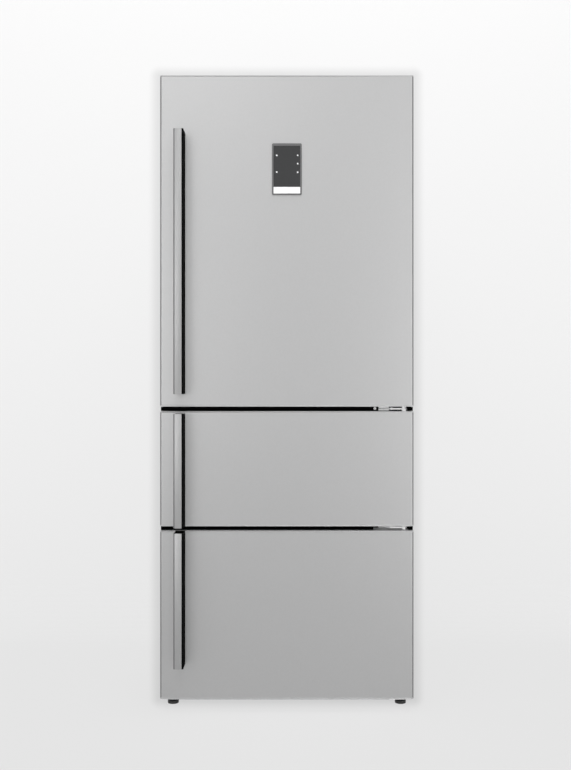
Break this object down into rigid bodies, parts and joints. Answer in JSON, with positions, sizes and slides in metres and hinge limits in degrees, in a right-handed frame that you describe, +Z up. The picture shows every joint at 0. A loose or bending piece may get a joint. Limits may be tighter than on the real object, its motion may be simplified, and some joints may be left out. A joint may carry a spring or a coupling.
{
  "type": "fridge freezer",
  "caption": "Tall fridge freezer with right-hung steel doors one above another, left bar handles, a small display panel and a grey painted cabinet.",
  "frame": {"origin": "middle of the footprint, on the floor", "axes": "+Z up along the height, -Y to the front where the doors are, +X to the right seen from the front, across the width"},
  "size_m": [0.74, 0.772, 1.878],
  "materials": {
    "door_steel": "satin",
    "cabinet_paint": "satin",
    "cap_plastic": "matte",
    "liner_plastic": "gloss",
    "black_plastic": "matte",
    "handle_aluminium": "satin",
    "bezel_plastic": "satin",
    "dark_glass": "gloss",
    "strip_plastic": "gloss",
    "foam": "matte",
    "seal_rubber": "matte",
    "hinge_steel": "satin",
    "screw_steel": "gloss",
    "galvanised": "satin",
    "black_steel": "satin",
    "rail_paint": "satin",
    "clear_glass": "gloss",
    "drawer_plastic": "gloss",
    "duct_plastic": "satin",
    "bare_aluminium": "satin",
    "black_rubber": "matte"
  },
  "bodies": {
    "cabinet": {"outer_wrap": "cabinet_paint", "back_panel": "galvanised", "base_frame": "galvanised", "mullion_rails": "rail_paint", "insulation_foam": "foam", "fridge_liner": "liner_plastic", "chill_liner": "liner_plastic", "freezer_liner": "liner_plastic", "top_hinge": "hinge_steel", "top_hinge_cover": "cap_plastic", "middle_hinges": "hinge_steel", "bottom_hinge": "hinge_steel", "hinge_screws": "screw_steel", "glass_shelves": "clear_glass", "shelf_trims": "duct_plastic", "fridge_air_duct": "duct_plastic", "freezer_air_duct": "duct_plastic", "fan_motor": "black_plastic", "evaporator": "bare_aluminium", "compressor": "black_steel", "compressor_mounts": "black_rubber", "drain_pan": "black_plastic", "condenser": "black_steel", "cord_gland": "black_plastic"},
    "fridge_door": {"fridge_door_skin": "door_steel", "fridge_door_foam": "foam", "fridge_door_panel": "liner_plastic", "fridge_door_caps": "cap_plastic", "fridge_door_gasket": "seal_rubber", "fridge_handle_cover": "handle_aluminium", "fridge_handle_grip": "black_plastic", "display_frame": "bezel_plastic", "display_glass": "dark_glass", "display_strip": "strip_plastic", "balcony_bottle": "drawer_plastic", "balcony_middle": "drawer_plastic", "balcony_upper": "drawer_plastic"},
    "chill_door": {"chill_door_skin": "door_steel", "chill_door_foam": "foam", "chill_door_panel": "liner_plastic", "chill_door_caps": "cap_plastic", "chill_door_gasket": "seal_rubber", "chill_handle_cover": "handle_aluminium", "chill_handle_grip": "black_plastic"},
    "freezer_door": {"freezer_door_skin": "door_steel", "freezer_door_foam": "foam", "freezer_door_panel": "liner_plastic", "freezer_door_caps": "cap_plastic", "freezer_door_gasket": "seal_rubber", "freezer_handle_cover": "handle_aluminium", "freezer_handle_grip": "black_plastic"},
    "crisper": {"crisper_drawer": "drawer_plastic"},
    "chill_box": {"chill_drawer": "drawer_plastic"},
    "freezer_box_upper": {"freezer_drawer_upper": "drawer_plastic"},
    "freezer_box_lower": {"freezer_drawer_lower": "drawer_plastic"},
    "fan": {"fan_blade": "duct_plastic"},
    "foot_left": {"front_foot_left": "black_plastic"},
    "foot_right": {"front_foot_right": "black_plastic"},
    "roller_left": {"rear_roller_left": "black_plastic"},
    "roller_right": {"rear_roller_right": "black_plastic"}
  },
  "joints": [
    {"name": "fridge_door_hinge", "type": "hinge", "parent": "cabinet", "child": "fridge_door", "pos_m": [0.345, -0.298, 1.376], "axis": [0, 0, 1], "range_deg": [0, 130]},
    {"name": "chill_door_hinge", "type": "hinge", "parent": "cabinet", "child": "chill_door", "pos_m": [0.345, -0.298, 0.7115], "axis": [0, 0, 1], "range_deg": [0, 130]},
    {"name": "freezer_door_hinge", "type": "hinge", "parent": "cabinet", "child": "freezer_door", "pos_m": [0.345, -0.298, 0.2855], "axis": [0, 0, 1], "range_deg": [0, 130]},
    {"name": "crisper_slide", "type": "slide", "parent": "cabinet", "child": "crisper", "axis": [0, -1, 0], "range_m": [0, 0.2]},
    {"name": "chill_box_slide", "type": "slide", "parent": "cabinet", "child": "chill_box", "axis": [0, -1, 0], "range_m": [0, 0.2]},
    {"name": "freezer_box_upper_slide", "type": "slide", "parent": "cabinet", "child": "freezer_box_upper", "axis": [0, -1, 0], "range_m": [0, 0.2]},
    {"name": "freezer_box_lower_slide", "type": "slide", "parent": "cabinet", "child": "freezer_box_lower", "axis": [0, -1, 0], "range_m": [0, 0.2]},
    {"name": "fan_spin", "type": "hinge", "parent": "cabinet", "child": "fan", "pos_m": [0, 0.225, 0.448], "axis": [0, 1, 0], "continuous": true},
    {"name": "foot_left_screw", "type": "slide", "parent": "cabinet", "child": "foot_left", "axis": [0, 0, 1], "range_m": [-0.015, 0]},
    {"name": "foot_right_screw", "type": "slide", "parent": "cabinet", "child": "foot_right", "axis": [0, 0, 1], "range_m": [-0.015, 0]},
    {"name": "roller_left_spin", "type": "hinge", "parent": "cabinet", "child": "roller_left", "pos_m": [-0.337, 0.3, 0.013], "axis": [1, 0, 0], "continuous": true},
    {"name": "roller_right_spin", "type": "hinge", "parent": "cabinet", "child": "roller_right", "pos_m": [0.337, 0.3, 0.013], "axis": [1, 0, 0], "continuous": true}
  ],
  "couplings": [
    {"joint": "crisper_slide", "follows": "fridge_door_hinge", "m_per_rad": 0.085},
    {"joint": "chill_box_slide", "follows": "chill_door_hinge", "m_per_rad": 0.085},
    {"joint": "freezer_box_upper_slide", "follows": "freezer_door_hinge", "m_per_rad": 0.085},
    {"joint": "freezer_box_lower_slide", "follows": "freezer_door_hinge", "m_per_rad": 0.085}
  ]
}
